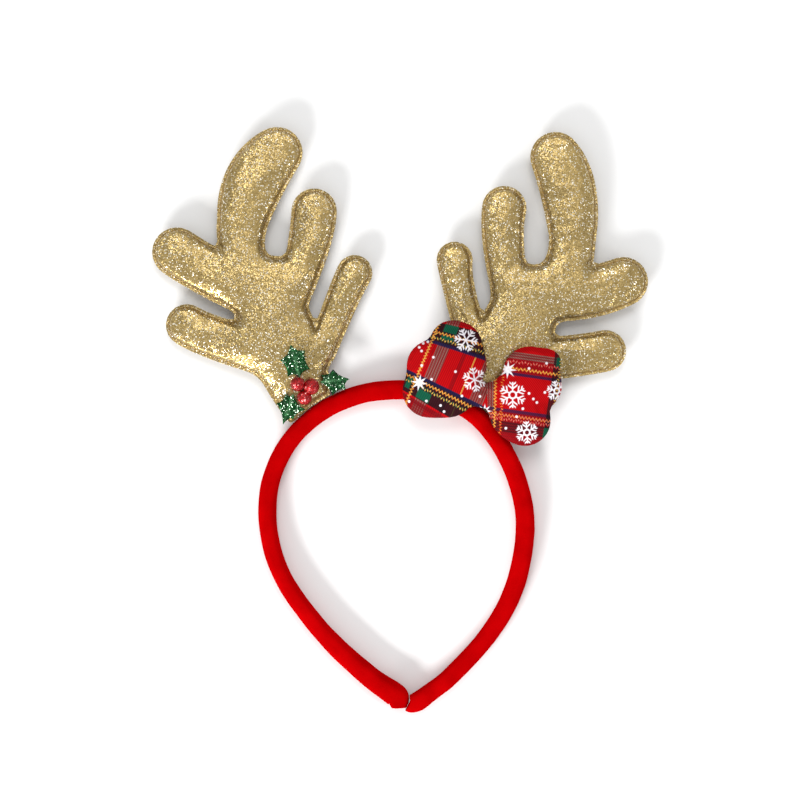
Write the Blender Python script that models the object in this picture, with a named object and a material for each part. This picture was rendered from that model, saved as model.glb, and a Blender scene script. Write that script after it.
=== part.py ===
# Reindeer antler headband, lying flat: a velvet hoop, two padded glitter antlers,
# a padded tartan bow on the foot of the right antler and a holly sprig on the left one.
# The plan of the headband is in X and Y, its thickness is in Z, and it lies on Z = 0.
# The tables below count Y from a point PLAN_LIFT above the middle of the whole outline.

import functools
import math
from typing import NamedTuple

import bmesh
import bpy
import numpy as np
from mathutils import Matrix, Vector
from mathutils.bvhtree import BVHTree
from mathutils.geometry import delaunay_2d_cdt

# Driving dimensions, in metres
MM = 0.001
GAP = 0.35 * MM
PLAN_LIFT = 9.4 * MM
BAND_HEIGHT = 9.6 * MM
BAND_SECTION_POINTS = 12
BAND_SECTION_SQUARENESS = 3.0
BAND_STEPS_PER_SPAN = 4
ANTLER_SEAM_LEVEL = 6.4 * MM
ANTLER_FRONT_SWELL = 0.80
ANTLER_FRONT_LIMIT = 9.4 * MM
ANTLER_BACK_SWELL = 0.75
ANTLER_FOOT_PRESS = 0.62
ANTLER_FOOT_LENGTH = 38.0 * MM
BOW_SEAM_LEVEL = 13.2 * MM
BOW_SEAM_SLOPE = 0.10
BOW_FRONT_SWELL = 0.78
BOW_BACK_SWELL = 0.50
BOW_WAIST = (38.9 * MM, 2.4 * MM)
LEAF_THICKNESS = 1.0 * MM
LEAF_FOLD = 0.16
BERRY_SIDES = 12
BERRY_RINGS = 8

# Steps of the working grid and of the curves, in metres and counts
FIELD_STEP = 1.0 * MM
FIELD_ROUNDS = 2600
TRACE_STEP = 0.5 * MM
ANTLER_HALF_SPAN = 82.0 * MM
BOW_HALF_SPAN = 46.0 * MM
LIMB_DISCS = 24
LEAST_TRACE_STEPS = 20
INNER_MARGIN = 0.6
PLAN_TOLERANCE = 1e-5
SETTLE_REACH = 3.0 * MM
PROBE_HEIGHT = 0.1
BERRY_PROBE_SHARES = (0.0, 0.3, 0.6, 0.85)
MIDRIB_SHARES = (0.2, 0.4, 0.6, 0.8)
SMOOTH_ANGLE = math.radians(50)


class Station(NamedTuple):
    """A point of the hoop's middle line and the hoop's half width there, in mm."""
    x: float
    y: float
    half_width: float


class Limb(NamedTuple):
    """A bent tapered limb: x, y and radius at its root, middle and tip, in mm."""
    fillet: float
    root: tuple
    middle: tuple
    tip: tuple


class Pad(NamedTuple):
    """How a padded piece is sewn and meshed, in metres."""
    flange: float
    edge_half: float
    rings: tuple
    edge_step: float
    grid_step: float


class Leaf(NamedTuple):
    """A holly leaf: its base and length in mm, its heading in degrees and its rise per mm.

    A spike is (share of the length, distance from the midrib in mm).
    """
    base: tuple
    heading: float
    length: float
    rise: float
    left_spikes: tuple
    right_spikes: tuple


class Berry(NamedTuple):
    """A round berry, in mm."""
    x: float
    y: float
    radius: float


BAND_LINE = (
    Station(-0.45, -147.6, 3.6),
    Station(-0.8, -143.9, 5.4),
    Station(-3.2, -140.9, 5.6),
    Station(-14.5, -133.0, 5.1),
    Station(-32.4, -116.8, 4.6),
    Station(-46.3, -100.4, 4.3),
    Station(-57.4, -82.9, 4.2),
    Station(-63.2, -62.4, 4.3),
    Station(-62.4, -40.0, 4.3),
    Station(-52.6, -19.1, 4.3),
    Station(-34.6, -3.6, 4.4),
    Station(-12.7, 4.1, 4.6),
    Station(13.0, 3.6, 4.5),
    Station(36.5, -7.4, 4.5),
    Station(52.1, -28.3, 4.5),
    Station(59.6, -51.7, 4.5),
    Station(59.1, -73.0, 4.5),
    Station(53.5, -94.0, 4.5),
    Station(42.0, -113.5, 4.3),
    Station(24.7, -132.4, 4.2),
    Station(14.7, -140.3, 4.3),
    Station(8.8, -144.7, 4.6),
    Station(5.4, -145.9, 4.2),
    Station(4.6, -145.75, 3.9),
)

LEFT_FOOT = (-45.1, 1.0)
LEFT_ANTLER = {
    "trunk": Limb(0.0, root=(0.2, -4, 11.2), middle=(-9.3, 23, 17.3), tip=(-21, 51.3, 14.8)),
    "stem": Limb(4.0, root=(-26, 55, 12), middle=(-30.2, 68, 11.2), tip=(-31.2, 79, 10.6)),
    "crown": Limb(4.0, root=(-31.2, 79, 10.4), middle=(-25.7, 101.3, 14.6), tip=(-13.9, 117.7, 12.3)),
    "web": Limb(3.0, root=(-22, 56, 10), middle=(-14, 57.6, 10.3), tip=(-6.5, 55, 8.5)),
    "upper": Limb(4.0, root=(-4.5, 52, 8), middle=(1.6, 74.4, 10.2), tip=(3.9, 89.6, 10.9)),
    "inner": Limb(3.0, root=(7.4, 22, 7), middle=(16.9, 46.1, 7.9), tip=(23.3, 60, 8.6)),
    "outer": Limb(3.0, root=(-27.3, 50, 11), middle=(-46.6, 60.5, 11.8), tip=(-61.9, 69.9, 11.9)),
    "lower": Limb(4.5, root=(-18.5, 21.2, 11), middle=(-42.7, 28.5, 10.4), tip=(-57.1, 34.9, 10.1)),
}

RIGHT_FOOT = (43.2, 0.0)
RIGHT_ANTLER = {
    "trunk": Limb(0.0, root=(-0.5, -4, 11), middle=(7, 22, 17.2), tip=(20.8, 49.5, 15.4)),
    "neck": Limb(3.0, root=(26, 50, 12), middle=(33.3, 59.5, 10.4), tip=(38.5, 70, 9.6)),
    "crown": Limb(5.0, root=(39.6, 70, 9.6), middle=(38.1, 97, 13.3), tip=(31.4, 116.5, 12.1)),
    "upper": Limb(4.0, root=(9.5, 54, 9.3), middle=(6.3, 76, 9.9), tip=(6.8, 92, 10.7)),
    "inner": Limb(3.0, root=(-8, 28, 8), middle=(-14.6, 52, 7.6), tip=(-17, 67.3, 8.7)),
    "outer": Limb(3.0, root=(34, 49.5, 11.8), middle=(50, 52.2, 12.3), tip=(64, 56.8, 11.8)),
    "lower": Limb(4.5, root=(20, 19, 10.5), middle=(41, 21.3, 10.1), tip=(55.3, 23.6, 10)),
}

# Round bulges of the bow around its waist: x, y and radius in mm
BOW_FILLET = 3.4
BOW_BULGES = {
    "waist": (0, 0, 6.0),
    "left_shoulder": (-11.5, 23.0, 11.8),
    "left_corner": (-15.4, 25.9, 8.8),
    "left_side": (-23.5, 13.9, 12.2),
    "left_bottom": (-25.0, 1.9, 12.7),
    "left_belly": (-16.3, 2.9, 13.7),
    "left_neck": (-7.2, 14.4, 9.6),
    "right_neck": (12.0, -1.0, 10.1),
    "right_shoulder": (22.6, 10.6, 12.5),
    "right_corner": (31.2, 15.4, 6.5),
    "right_side": (26.4, 4.3, 11.8),
    "right_bottom": (20.6, -12.0, 12.3),
    "right_belly": (15.4, -9.1, 11.5),
}

ANTLER_PAD = Pad(
    flange=1.4 * MM, edge_half=0.6 * MM, rings=(1.4 * MM, 3.0 * MM), edge_step=3.0 * MM, grid_step=4.6 * MM)
BOW_PAD = Pad(
    flange=0.0, edge_half=0.5 * MM, rings=(0.8 * MM, 2.4 * MM), edge_step=2.7 * MM, grid_step=3.6 * MM)

LEAVES = (
    Leaf(base=(-47.8, 10.3), heading=104.6, length=16.6, rise=0.22,
         left_spikes=((0.13, 5.4), (0.64, 6.7)), right_spikes=((0.17, 6.0), (0.74, 5.9))),
    Leaf(base=(-38.2, 8.6), heading=6.0, length=14.2, rise=0.0,
         left_spikes=((0.05, 3.2), (0.48, 5.4)), right_spikes=((0.37, 7.1), (0.84, 4.9))),
    Leaf(base=(-50.8, 3.0), heading=-109.0, length=15.6, rise=-0.05,
         left_spikes=((0.34, 8.0), (0.73, 3.9)), right_spikes=((0.06, 3.5), (0.44, 6.2))),
)
LEAF_ARC_POINTS = 3
LEAF_ARC_DEPTH = 0.20

BERRIES = (
    Berry(-48.7, 7.5, 2.95),
    Berry(-42.2, 6.4, 3.3),
    Berry(-45.6, 1.2, 3.0),
)


# Curves and distances in the plan

def curve_through(rows, steps):
    """Catmull-Rom curve through the rows, with the given steps in each span."""
    rows = np.array(rows, dtype=float)
    padded = np.vstack((2 * rows[0] - rows[1], rows, 2 * rows[-1] - rows[-2]))
    points = []
    for start in range(len(rows) - 1):
        before, first, second, after = padded[start:start + 4]
        for step in range(steps):
            t = step / steps
            points.append(0.5 * (2 * first + (second - before) * t
                                 + (2 * before - 5 * first + 4 * second - after) * t ** 2
                                 + (3 * first - before - 3 * second + after) * t ** 3))
    points.append(rows[-1])
    return np.array(points)


def limb_distance(points, limb):
    """Signed distance from the points to a limb, a row of discs along a bent line."""
    root, middle, tip = np.array((limb.root, limb.middle, limb.tip), dtype=float) * MM
    control = 2 * middle - (root + tip) / 2
    t = np.linspace(0, 1, LIMB_DISCS)[:, None]
    discs = (1 - t) ** 2 * root + 2 * t * (1 - t) * control + t * t * tip
    away = points[:, None] - discs[:, :2]
    return np.min(np.hypot(away[..., 0], away[..., 1]) - discs[:, 2], axis=1)


def smooth_union(first, second, fillet):
    """Union of two signed distances, with a hollow fillet where they meet."""
    blend = np.maximum(fillet - np.abs(first - second), 0) / fillet
    return np.minimum(first, second) - blend * blend * fillet / 4


def antler_distance(limbs, foot):
    """The signed distance of an antler's plan, which stops at the band."""
    origin = np.array(foot) * MM

    def distance(points):
        local = points - origin
        merged = None
        for limb in limbs.values():
            piece = limb_distance(local, limb)
            merged = piece if merged is None else smooth_union(merged, piece, limb.fillet * MM)
        return np.maximum(merged, GAP - band_side(points))

    return distance


def bow_distance(points):
    """The signed distance of the bow's plan, round bulges about its waist."""
    local = points - np.array(BOW_WAIST)
    merged = None
    for x, y, radius in BOW_BULGES.values():
        piece = np.hypot(local[:, 0] - x * MM, local[:, 1] - y * MM) - radius * MM
        merged = piece if merged is None else smooth_union(merged, piece, BOW_FILLET * MM)
    return merged


@functools.lru_cache
def band_curve():
    """Points along the hoop's middle line, with the half width at each, in metres."""
    return curve_through(BAND_LINE, BAND_STEPS_PER_SPAN) * MM


def band_side(points):
    """How far outside the hoop's outer edge the points are, negative on and within the hoop."""
    first = band_curve()
    second = np.roll(first, -1, axis=0)
    span = second[:, :2] - first[:, :2]
    offset = points[:, None] - first[:, :2]
    t = np.clip(np.sum(offset * span, axis=2) / np.sum(span * span, axis=1), 0, 1)
    away = offset - t[..., None] * span
    half_width = first[:, 2] + t * (second[:, 2] - first[:, 2])
    nearest = np.min(np.hypot(away[..., 0], away[..., 1]) - half_width, axis=1)
    height = points[:, 1][:, None]
    between = (first[:, 1] > height) != (second[:, 1] > height)
    slant = first[:, 0] + span[:, 0] * (height - first[:, 1]) / np.where(span[:, 1] == 0, MM, span[:, 1])
    crossings = np.sum(between & (points[:, 0][:, None] < slant), axis=1)
    return np.where(crossings % 2 == 1, -np.abs(nearest), nearest)


# Padded pieces

def sample_field(distance, centre, half_size):
    """The signed distance on a square grid around the centre."""
    ticks = np.arange(-half_size, half_size + FIELD_STEP, FIELD_STEP)
    xs, ys = centre[0] + ticks, centre[1] + ticks
    grid_x, grid_y = np.meshgrid(xs, ys)
    values = distance(np.column_stack((grid_x.ravel(), grid_y.ravel())))
    return xs, ys, values.reshape(grid_x.shape)


def swell_field(values, edge):
    """How far a skin that is sewn down at the edge swells, as a height for each grid point."""
    inside = values < -edge
    load = np.zeros(values.shape)
    for _ in range(FIELD_ROUNDS):
        around = sum(np.roll(load, way, axis) for way in (-1, 1) for axis in (0, 1))
        load = np.where(inside, (around + FIELD_STEP ** 2) / 4, 0)
    return np.sqrt(load)


def sample_height(xs, ys, heights, x, y):
    """The height between the grid points, by straight blending."""
    column = min(max((x - xs[0]) / FIELD_STEP, 0), len(xs) - 2)
    row = min(max((y - ys[0]) / FIELD_STEP, 0), len(ys) - 2)
    left, low = int(column), int(row)
    across, up = column - left, row - low
    lower = (1 - across) * heights[low, left] + across * heights[low, left + 1]
    upper = (1 - across) * heights[low + 1, left] + across * heights[low + 1, left + 1]
    return (1 - up) * lower + up * upper


def slope(distance, point):
    """The direction in which the distance grows at a point, and the distance there."""
    probe = 0.05 * MM
    around = np.array([point, point + (probe, 0), point - (probe, 0), point + (0, probe), point - (0, probe)])
    here, right, left, up, down = distance(around)
    direction = np.array((right - left, up - down))
    return direction / max(np.hypot(*direction), 1e-12), here


def trace_level(distance, start, level, spacing):
    """Walk round the line where the distance equals the level, and space its points evenly."""
    def settle(point):
        for _ in range(2):
            direction, here = slope(distance, point)
            point = point - direction * (here - level)
        return point, direction

    first, direction = settle(np.array(start))
    path = [first]
    while len(path) < LEAST_TRACE_STEPS or np.hypot(*(path[-1] - first)) > 0.9 * TRACE_STEP:
        point, direction = settle(path[-1] + TRACE_STEP * np.array((-direction[1], direction[0])))
        path.append(point)
    path.append(first)
    path = np.array(path)
    run = np.concatenate(([0], np.cumsum(np.hypot(*np.diff(path, axis=0).T))))
    stops = np.linspace(0, run[-1], round(run[-1] / spacing) + 1)[:-1]
    return np.column_stack((np.interp(stops, run, path[:, 0]), np.interp(stops, run, path[:, 1])))


def plan_mesh(distance, centre, half_size, pad):
    """Triangles that fill the plan, with the sewing rings as edges, and each point's ring."""
    xs, ys, values = sample_field(distance, centre, half_size)
    rows, columns = np.nonzero(values < 0)
    top = (xs[columns[-1]], ys[rows[-1]])
    loops = [trace_level(distance, top, -depth, pad.edge_step) for depth in (0.0,) + pad.rings]
    grid = []
    row_height = pad.grid_step * math.sqrt(3) / 2
    for index, y in enumerate(np.arange(ys[0], ys[-1], row_height)):
        shift = pad.grid_step / 2 * (index % 2)
        grid.extend((x + shift, y) for x in np.arange(xs[0], xs[-1], pad.grid_step))
    grid = np.array(grid)
    grid = grid[distance(grid) < -pad.rings[-1] - INNER_MARGIN * pad.grid_step]
    points = np.vstack(loops + [grid])
    edges = []
    start = 0
    for loop in loops:
        indices = list(range(start, start + len(loop)))
        edges.extend(zip(indices, indices[1:] + indices[:1]))
        start += len(loop)
    border = list(range(len(loops[0])))
    coords = [Vector(point / MM) for point in points]
    found = delaunay_2d_cdt(coords, edges[len(border):], [border], 1, PLAN_TOLERANCE)
    plan = [(point.x * MM, point.y * MM) for point in found[0]]
    heights = swell_field(values, pad.flange)
    swells = [sample_height(xs, ys, heights, x, y) for x, y in plan]
    return plan, found[2], swells


def pillow(name, plan, faces, fronts, backs):
    """A closed solid between a front and a back height over the same plan."""
    mesh = bmesh.new()
    front = [mesh.verts.new((x, y, z)) for (x, y), z in zip(plan, fronts)]
    back = [mesh.verts.new((x, y, z)) for (x, y), z in zip(plan, backs)]
    used = {}
    for face in faces:
        mesh.faces.new([front[index] for index in face])
        mesh.faces.new([back[index] for index in reversed(face)])
        for edge in zip(face, face[1:] + face[:1]):
            used[edge] = True
    for first, second in used:
        if (second, first) not in used:
            mesh.faces.new((front[second], front[first], back[first], back[second]))
    loose = [vert for vert in mesh.verts if not vert.link_faces]
    bmesh.ops.delete(mesh, geom=loose, context="VERTS")
    return add_object(name, mesh)


# What lies below a piece

def support_tree(pieces):
    """The surface of the pieces that carry the next one."""
    verts, faces = [], []
    for piece in pieces:
        start = len(verts)
        verts.extend(vertex.co for vertex in piece.data.vertices)
        faces.extend([start + index for index in face.vertices] for face in piece.data.polygons)
    return BVHTree.FromPolygons(verts, faces)


def support_level(tree, x, y, reach):
    """The highest point that carries a piece within reach of a place, or the floor."""
    spots = [(x, y)]
    for radius in (reach / 2, reach):
        for turn in np.arange(0, 2 * math.pi, math.pi / 4):
            spots.append((x + radius * math.cos(turn), y + radius * math.sin(turn)))
    level = 0.0
    for spot_x, spot_y in spots:
        hit = tree.ray_cast(Vector((spot_x, spot_y, PROBE_HEIGHT)), Vector((0, 0, -1)))
        if hit[0] is not None:
            level = max(level, hit[0].z)
    return level


# Materials and objects

def material(name, colour, roughness, metallic=0.0):
    """A plain finish for the pieces of one kind."""
    made = bpy.data.materials.new(name)
    made.use_nodes = True
    shader = made.node_tree.nodes["Principled BSDF"]
    shader.inputs["Base Color"].default_value = (*colour, 1)
    shader.inputs["Roughness"].default_value = roughness
    shader.inputs["Metallic"].default_value = metallic
    made.diffuse_color = (*colour, 1)
    return made


def add_object(name, mesh):
    """A smooth shaded object from a mesh in work."""
    bmesh.ops.recalc_face_normals(mesh, faces=mesh.faces)
    data = bpy.data.meshes.new(name)
    mesh.to_mesh(data)
    mesh.free()
    data.shade_smooth()
    data.set_sharp_from_angle(angle=SMOOTH_ANGLE)
    made = bpy.data.objects.new(name, data)
    bpy.context.collection.objects.link(made)
    return made


def give(piece, finish):
    """Put the finish on the piece."""
    piece.data.materials.append(finish)
    return piece


# The sub-parts

def make_band():
    """The hoop: one squarish section swept along its line, flat where it lies."""
    line = band_curve()
    ahead = np.gradient(line[:, :2], axis=0)
    mesh = bmesh.new()
    rings = []
    flat_angle = math.pi / 2 - math.pi / BAND_SECTION_POINTS
    flat_share = math.sin(flat_angle) ** (2 / BAND_SECTION_SQUARENESS)
    for (x, y, half_width), (ahead_x, ahead_y) in zip(line, ahead):
        length = math.hypot(ahead_x, ahead_y)
        side = (-ahead_y / length, ahead_x / length)
        ring = []
        for index in range(BAND_SECTION_POINTS):
            angle = 2 * math.pi * (index + 0.5) / BAND_SECTION_POINTS
            across = math.copysign(abs(math.cos(angle)) ** (2 / BAND_SECTION_SQUARENESS), math.cos(angle))
            up = math.copysign(abs(math.sin(angle)) ** (2 / BAND_SECTION_SQUARENESS), math.sin(angle))
            level = BAND_HEIGHT / 2 * (1 + up / flat_share)
            reach = half_width * across
            ring.append(mesh.verts.new((x + side[0] * reach, y + side[1] * reach, level)))
        rings.append(ring)
    for first, second in zip(rings, rings[1:]):
        for index in range(BAND_SECTION_POINTS):
            following = (index + 1) % BAND_SECTION_POINTS
            mesh.faces.new((first[index], first[following], second[following], second[index]))
    mesh.faces.new(rings[0])
    mesh.faces.new(rings[-1])
    return add_object("band", mesh)


def make_antler(name, limbs, foot):
    """A padded antler: swollen in front, flattened behind where it lies, pressed thin at its foot."""
    distance = antler_distance(limbs, foot)
    crown_x, crown_y, _ = limbs["crown"].tip
    centre = ((foot[0] + crown_x / 2) * MM, (foot[1] + crown_y / 2) * MM)
    plan, faces, swells = plan_mesh(distance, centre, ANTLER_HALF_SPAN, ANTLER_PAD)
    fronts, backs = [], []
    for (_, y), swell in zip(plan, swells):
        share = min(max((y - foot[1] * MM) / ANTLER_FOOT_LENGTH, 0), 1)
        press = ANTLER_FOOT_PRESS + (1 - ANTLER_FOOT_PRESS) * share * share * (3 - 2 * share)
        rise = ANTLER_FRONT_LIMIT * math.tanh(ANTLER_FRONT_SWELL * press * swell / ANTLER_FRONT_LIMIT)
        fall = ANTLER_BACK_SWELL * press * swell
        fronts.append(ANTLER_SEAM_LEVEL + ANTLER_PAD.edge_half + rise)
        backs.append(max(ANTLER_SEAM_LEVEL - ANTLER_PAD.edge_half - fall, 0))
    return pillow(name, plan, faces, fronts, backs)


def make_bow(carriers):
    """The padded bow, whose back follows the band and the antler that it lies on."""
    tree = support_tree(carriers)
    plan, faces, swells = plan_mesh(bow_distance, BOW_WAIST, BOW_HALF_SPAN, BOW_PAD)
    fronts, backs = [], []
    for (x, y), swell in zip(plan, swells):
        carried = support_level(tree, x, y, SETTLE_REACH) + GAP
        seam = BOW_SEAM_LEVEL + BOW_SEAM_SLOPE * max(y, 0)
        seam = max(seam, carried + BOW_PAD.edge_half)
        fronts.append(seam + BOW_PAD.edge_half + BOW_FRONT_SWELL * swell)
        backs.append(max(seam - BOW_PAD.edge_half - BOW_BACK_SWELL * swell, carried))
    return pillow("bow", plan, faces, fronts, backs)


def leaf_outline(leaf):
    """The leaf's edge in its own frame, x along the midrib, with hollow arcs between the spikes."""
    corners = [(0.0, 0.0)]
    corners.extend((share * leaf.length, -width) for share, width in leaf.right_spikes)
    corners.append((leaf.length, 0.0))
    corners.extend((share * leaf.length, width) for share, width in reversed(leaf.left_spikes))
    middle = np.array((leaf.length / 2, 0.0))
    outline = []
    for corner, following in zip(np.array(corners), np.roll(corners, -1, axis=0)):
        outline.append(corner)
        inward = middle - (corner + following) / 2
        for step in range(1, LEAF_ARC_POINTS + 1):
            t = step / (LEAF_ARC_POINTS + 1)
            hollow = inward * LEAF_ARC_DEPTH * math.sin(math.pi * t)
            outline.append(corner + (following - corner) * t + hollow)
    return outline


def make_leaf(name, leaf, carriers):
    """A stiff foil leaf, folded up a little along its midrib, on what carries it."""
    tree = support_tree(carriers)
    outline = leaf_outline(leaf)
    midrib = [(leaf.length * share, 0.0) for share in MIDRIB_SHARES]
    points = [Vector(point) for point in outline] + [Vector(point) for point in midrib]
    found = delaunay_2d_cdt(points, [], [list(range(len(outline)))], 1, PLAN_TOLERANCE)
    turn = math.radians(leaf.heading)
    plan, levels, needs = [], [], []
    for along, across in found[0]:
        x = (leaf.base[0] + along * math.cos(turn) - across * math.sin(turn)) * MM
        y = (leaf.base[1] + along * math.sin(turn) + across * math.cos(turn)) * MM
        level = (leaf.rise * along + LEAF_FOLD * abs(across)) * MM
        plan.append((x, y))
        levels.append(level)
        needs.append(support_level(tree, x, y, SETTLE_REACH / 3) - level)
    lift = max(needs) + GAP
    backs = [lift + level for level in levels]
    fronts = [level + LEAF_THICKNESS for level in backs]
    return pillow(name, plan, found[2], fronts, backs)


def make_berry(name, berry, carriers):
    """A round berry, dropped on to what carries it."""
    tree = support_tree(carriers)
    radius = berry.radius * MM
    level = 0.0
    for share in BERRY_PROBE_SHARES:
        rise = radius * math.sqrt(1 - share * share)
        for turn in np.arange(0, 2 * math.pi, math.pi / 6):
            x = berry.x * MM + share * radius * math.cos(turn)
            y = berry.y * MM + share * radius * math.sin(turn)
            level = max(level, support_level(tree, x, y, 0.2 * MM) + rise)
    mesh = bmesh.new()
    bmesh.ops.create_uvsphere(mesh, u_segments=BERRY_SIDES, v_segments=BERRY_RINGS, radius=radius)
    bmesh.ops.translate(mesh, verts=mesh.verts, vec=(berry.x * MM, berry.y * MM, level + GAP))
    return add_object(name, mesh)


def main():
    """Build the whole headband."""
    for old in list(bpy.data.objects):
        bpy.data.objects.remove(old)
    velvet = material("red_velvet", (0.62, 0.008, 0.012), 0.85)
    glitter = material("gold_glitter", (0.70, 0.49, 0.22), 0.42, 0.65)
    tartan = material("red_tartan", (0.52, 0.03, 0.04), 0.8)
    foil = material("green_foil", (0.01, 0.18, 0.05), 0.35, 0.7)
    berry_red = material("berry_red", (0.62, 0.01, 0.03), 0.3, 0.2)
    band = give(make_band(), velvet)
    left = give(make_antler("antler_left", LEFT_ANTLER, LEFT_FOOT), glitter)
    right = give(make_antler("antler_right", RIGHT_ANTLER, RIGHT_FOOT), glitter)
    give(make_bow([band, right]), tartan)
    sprig = [band, left]
    for index, leaf in enumerate(LEAVES, 1):
        sprig.append(give(make_leaf(f"holly_leaf_{index}", leaf, sprig), foil))
    for index, berry in enumerate(BERRIES, 1):
        sprig.append(give(make_berry(f"berry_{index}", berry, sprig), berry_red))
    for piece in bpy.data.objects:
        piece.data.transform(Matrix.Translation((0, PLAN_LIFT, 0)))


main()
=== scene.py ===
# %% [markdown]
# # A reindeer antler headband, made piece by piece
#
# The headband lies flat: a hoop covered in red velvet, two stuffed antlers of gold glitter
# fabric, a little tartan bow and a holly sprig. The plain solids of all of them come in as a
# fixed frame. Each step below dresses one of them: it shapes the cloth, sews it and gives it
# a finish that is made of nodes, with no pictures.

# %% Load the frame
import math
from typing import NamedTuple

import bmesh
import bpy
import numpy as np
from mathutils import Matrix, Vector, noise
from mathutils.bvhtree import BVHTree


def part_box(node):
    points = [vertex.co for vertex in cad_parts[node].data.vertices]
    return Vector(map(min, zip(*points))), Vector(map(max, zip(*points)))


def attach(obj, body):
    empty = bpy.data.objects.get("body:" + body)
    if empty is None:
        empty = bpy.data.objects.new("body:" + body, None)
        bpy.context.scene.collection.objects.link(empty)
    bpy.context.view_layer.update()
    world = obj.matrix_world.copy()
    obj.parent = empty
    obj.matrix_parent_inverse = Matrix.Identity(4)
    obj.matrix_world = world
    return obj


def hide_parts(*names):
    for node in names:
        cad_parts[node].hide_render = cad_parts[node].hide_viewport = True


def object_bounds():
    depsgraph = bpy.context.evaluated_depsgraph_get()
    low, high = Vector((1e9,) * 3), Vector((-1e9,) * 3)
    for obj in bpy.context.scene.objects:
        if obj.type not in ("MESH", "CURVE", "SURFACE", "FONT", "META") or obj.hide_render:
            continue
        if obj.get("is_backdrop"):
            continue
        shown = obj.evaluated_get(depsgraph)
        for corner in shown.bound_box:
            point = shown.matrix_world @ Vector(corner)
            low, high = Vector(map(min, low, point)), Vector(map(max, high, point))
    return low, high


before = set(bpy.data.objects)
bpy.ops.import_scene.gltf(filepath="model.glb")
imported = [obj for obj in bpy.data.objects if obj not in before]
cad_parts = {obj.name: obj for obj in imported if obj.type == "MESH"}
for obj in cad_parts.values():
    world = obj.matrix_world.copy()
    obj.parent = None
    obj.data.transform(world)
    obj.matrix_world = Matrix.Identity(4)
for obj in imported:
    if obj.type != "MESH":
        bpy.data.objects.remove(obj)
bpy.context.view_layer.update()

MM = 0.001

# %% [markdown]
# ## The camera
#
# The headband is looked at from straight above. A long lens far away keeps the sides of the
# thick pieces from leaning outwards. The picture is 384 mm wide at the height of the seams.

# %% Camera
PICTURE_WIDTH = 384.0 * MM
VIEW_LEVEL = 6.0 * MM
VIEW_CENTRE = (0.0, 9.4 * MM)

lens = bpy.data.cameras.new("camera")
lens.lens = 100.0
lens.sensor_width = 36.0
lens.clip_end = 10.0
camera = bpy.data.objects.new("camera", lens)
camera.location = (*VIEW_CENTRE, VIEW_LEVEL + PICTURE_WIDTH * lens.lens / lens.sensor_width)
bpy.context.collection.objects.link(camera)
bpy.context.scene.camera = camera
print("camera height in mm:", round(camera.location.z / MM))

# %% [markdown]
# ## The floor and the light
#
# Shop pictures like this one have a white floor and large soft lights. A broad lamp high beyond
# the tips of the antlers lights the front. A second, lower and stronger lamp on the other side
# grazes the lower flanks of the antlers, where it makes the glitter flash, and drops the soft
# shadows. A small low lamp does the same from the right. A pale surround fills the rest.

# %% Floor and lamps
FLOOR_HALF = 1.6
FLOOR_LEVEL = -0.15 * MM


class Lamp(NamedTuple):
    """A soft lamp: its bearing and height angle in degrees, distance, size in metres and watts."""
    name: str
    bearing: float
    height: float
    distance: float
    width: float
    depth: float
    power: float


LAMPS = (
    Lamp("key_lamp", bearing=90, height=60, distance=1.6, width=0.8, depth=0.7, power=8.0),
    Lamp("flank_lamp", bearing=-122, height=27, distance=1.3, width=0.5, depth=0.22, power=18.0),
    Lamp("side_lamp", bearing=-25, height=24, distance=1.3, width=0.3, depth=0.2, power=2.5),
)


def plain_material(name, colour, roughness):
    """A material with one colour, as a start for its nodes."""
    made = bpy.data.materials.new(name)
    made.use_nodes = True
    shader = made.node_tree.nodes["Principled BSDF"]
    shader.inputs["Base Color"].default_value = (*colour, 1)
    shader.inputs["Roughness"].default_value = roughness
    return made


mesh = bmesh.new()
bmesh.ops.create_grid(mesh, x_segments=1, y_segments=1, size=FLOOR_HALF)
bmesh.ops.translate(mesh, verts=mesh.verts, vec=(0, 0, FLOOR_LEVEL))
floor_data = bpy.data.meshes.new("floor")
mesh.to_mesh(floor_data)
mesh.free()
floor = bpy.data.objects.new("floor", floor_data)
floor_data.materials.append(plain_material("floor_white", (0.82, 0.82, 0.82), 0.9))
floor_data.materials[0].node_tree.nodes["Principled BSDF"].inputs["Specular IOR Level"].default_value = 0.0
bpy.context.collection.objects.link(floor)
floor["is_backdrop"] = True

surround = bpy.data.worlds.new("surround")
surround.use_nodes = True
surround.node_tree.nodes["Background"].inputs["Color"].default_value = (1.0, 1.0, 1.0, 1)
surround.node_tree.nodes["Background"].inputs["Strength"].default_value = 0.72
bpy.context.scene.world = surround
bpy.context.scene.view_settings.view_transform = "Standard"

for lamp in LAMPS:
    light = bpy.data.lights.new(lamp.name, "AREA")
    light.shape = "RECTANGLE"
    light.size, light.size_y = lamp.width, lamp.depth
    light.energy = lamp.power
    placed = bpy.data.objects.new(lamp.name, light)
    bearing, height = math.radians(lamp.bearing), math.radians(lamp.height)
    level = math.cos(height)
    away = Vector((math.cos(bearing) * level, math.sin(bearing) * level, math.sin(height)))
    placed.location = Vector((*VIEW_CENTRE, 0)) + away * lamp.distance
    placed.rotation_euler = away.to_track_quat("Z", "Y").to_euler()
    bpy.context.collection.objects.link(placed)
    print(lamp.name, "stands", [round(value, 2) for value in placed.location])

# %% [markdown]
# ## Helpers for cloth shapes
#
# The frame's solids come in as loose triangles. A copy of one has its doubles merged, so that
# it is one closed skin, and is then cut finer. The stuffed look comes from Blender's cloth: the
# skin is held where it is sewn and blown up a little, as stuffing would do. Cloth that is cut
# slightly too large puckers along the seam by itself. How far each point may move is capped, so
# the piece stays in the space of its solid.

# %% Cloth helpers
MERGE_DISTANCE = 0.001 * MM


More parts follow.
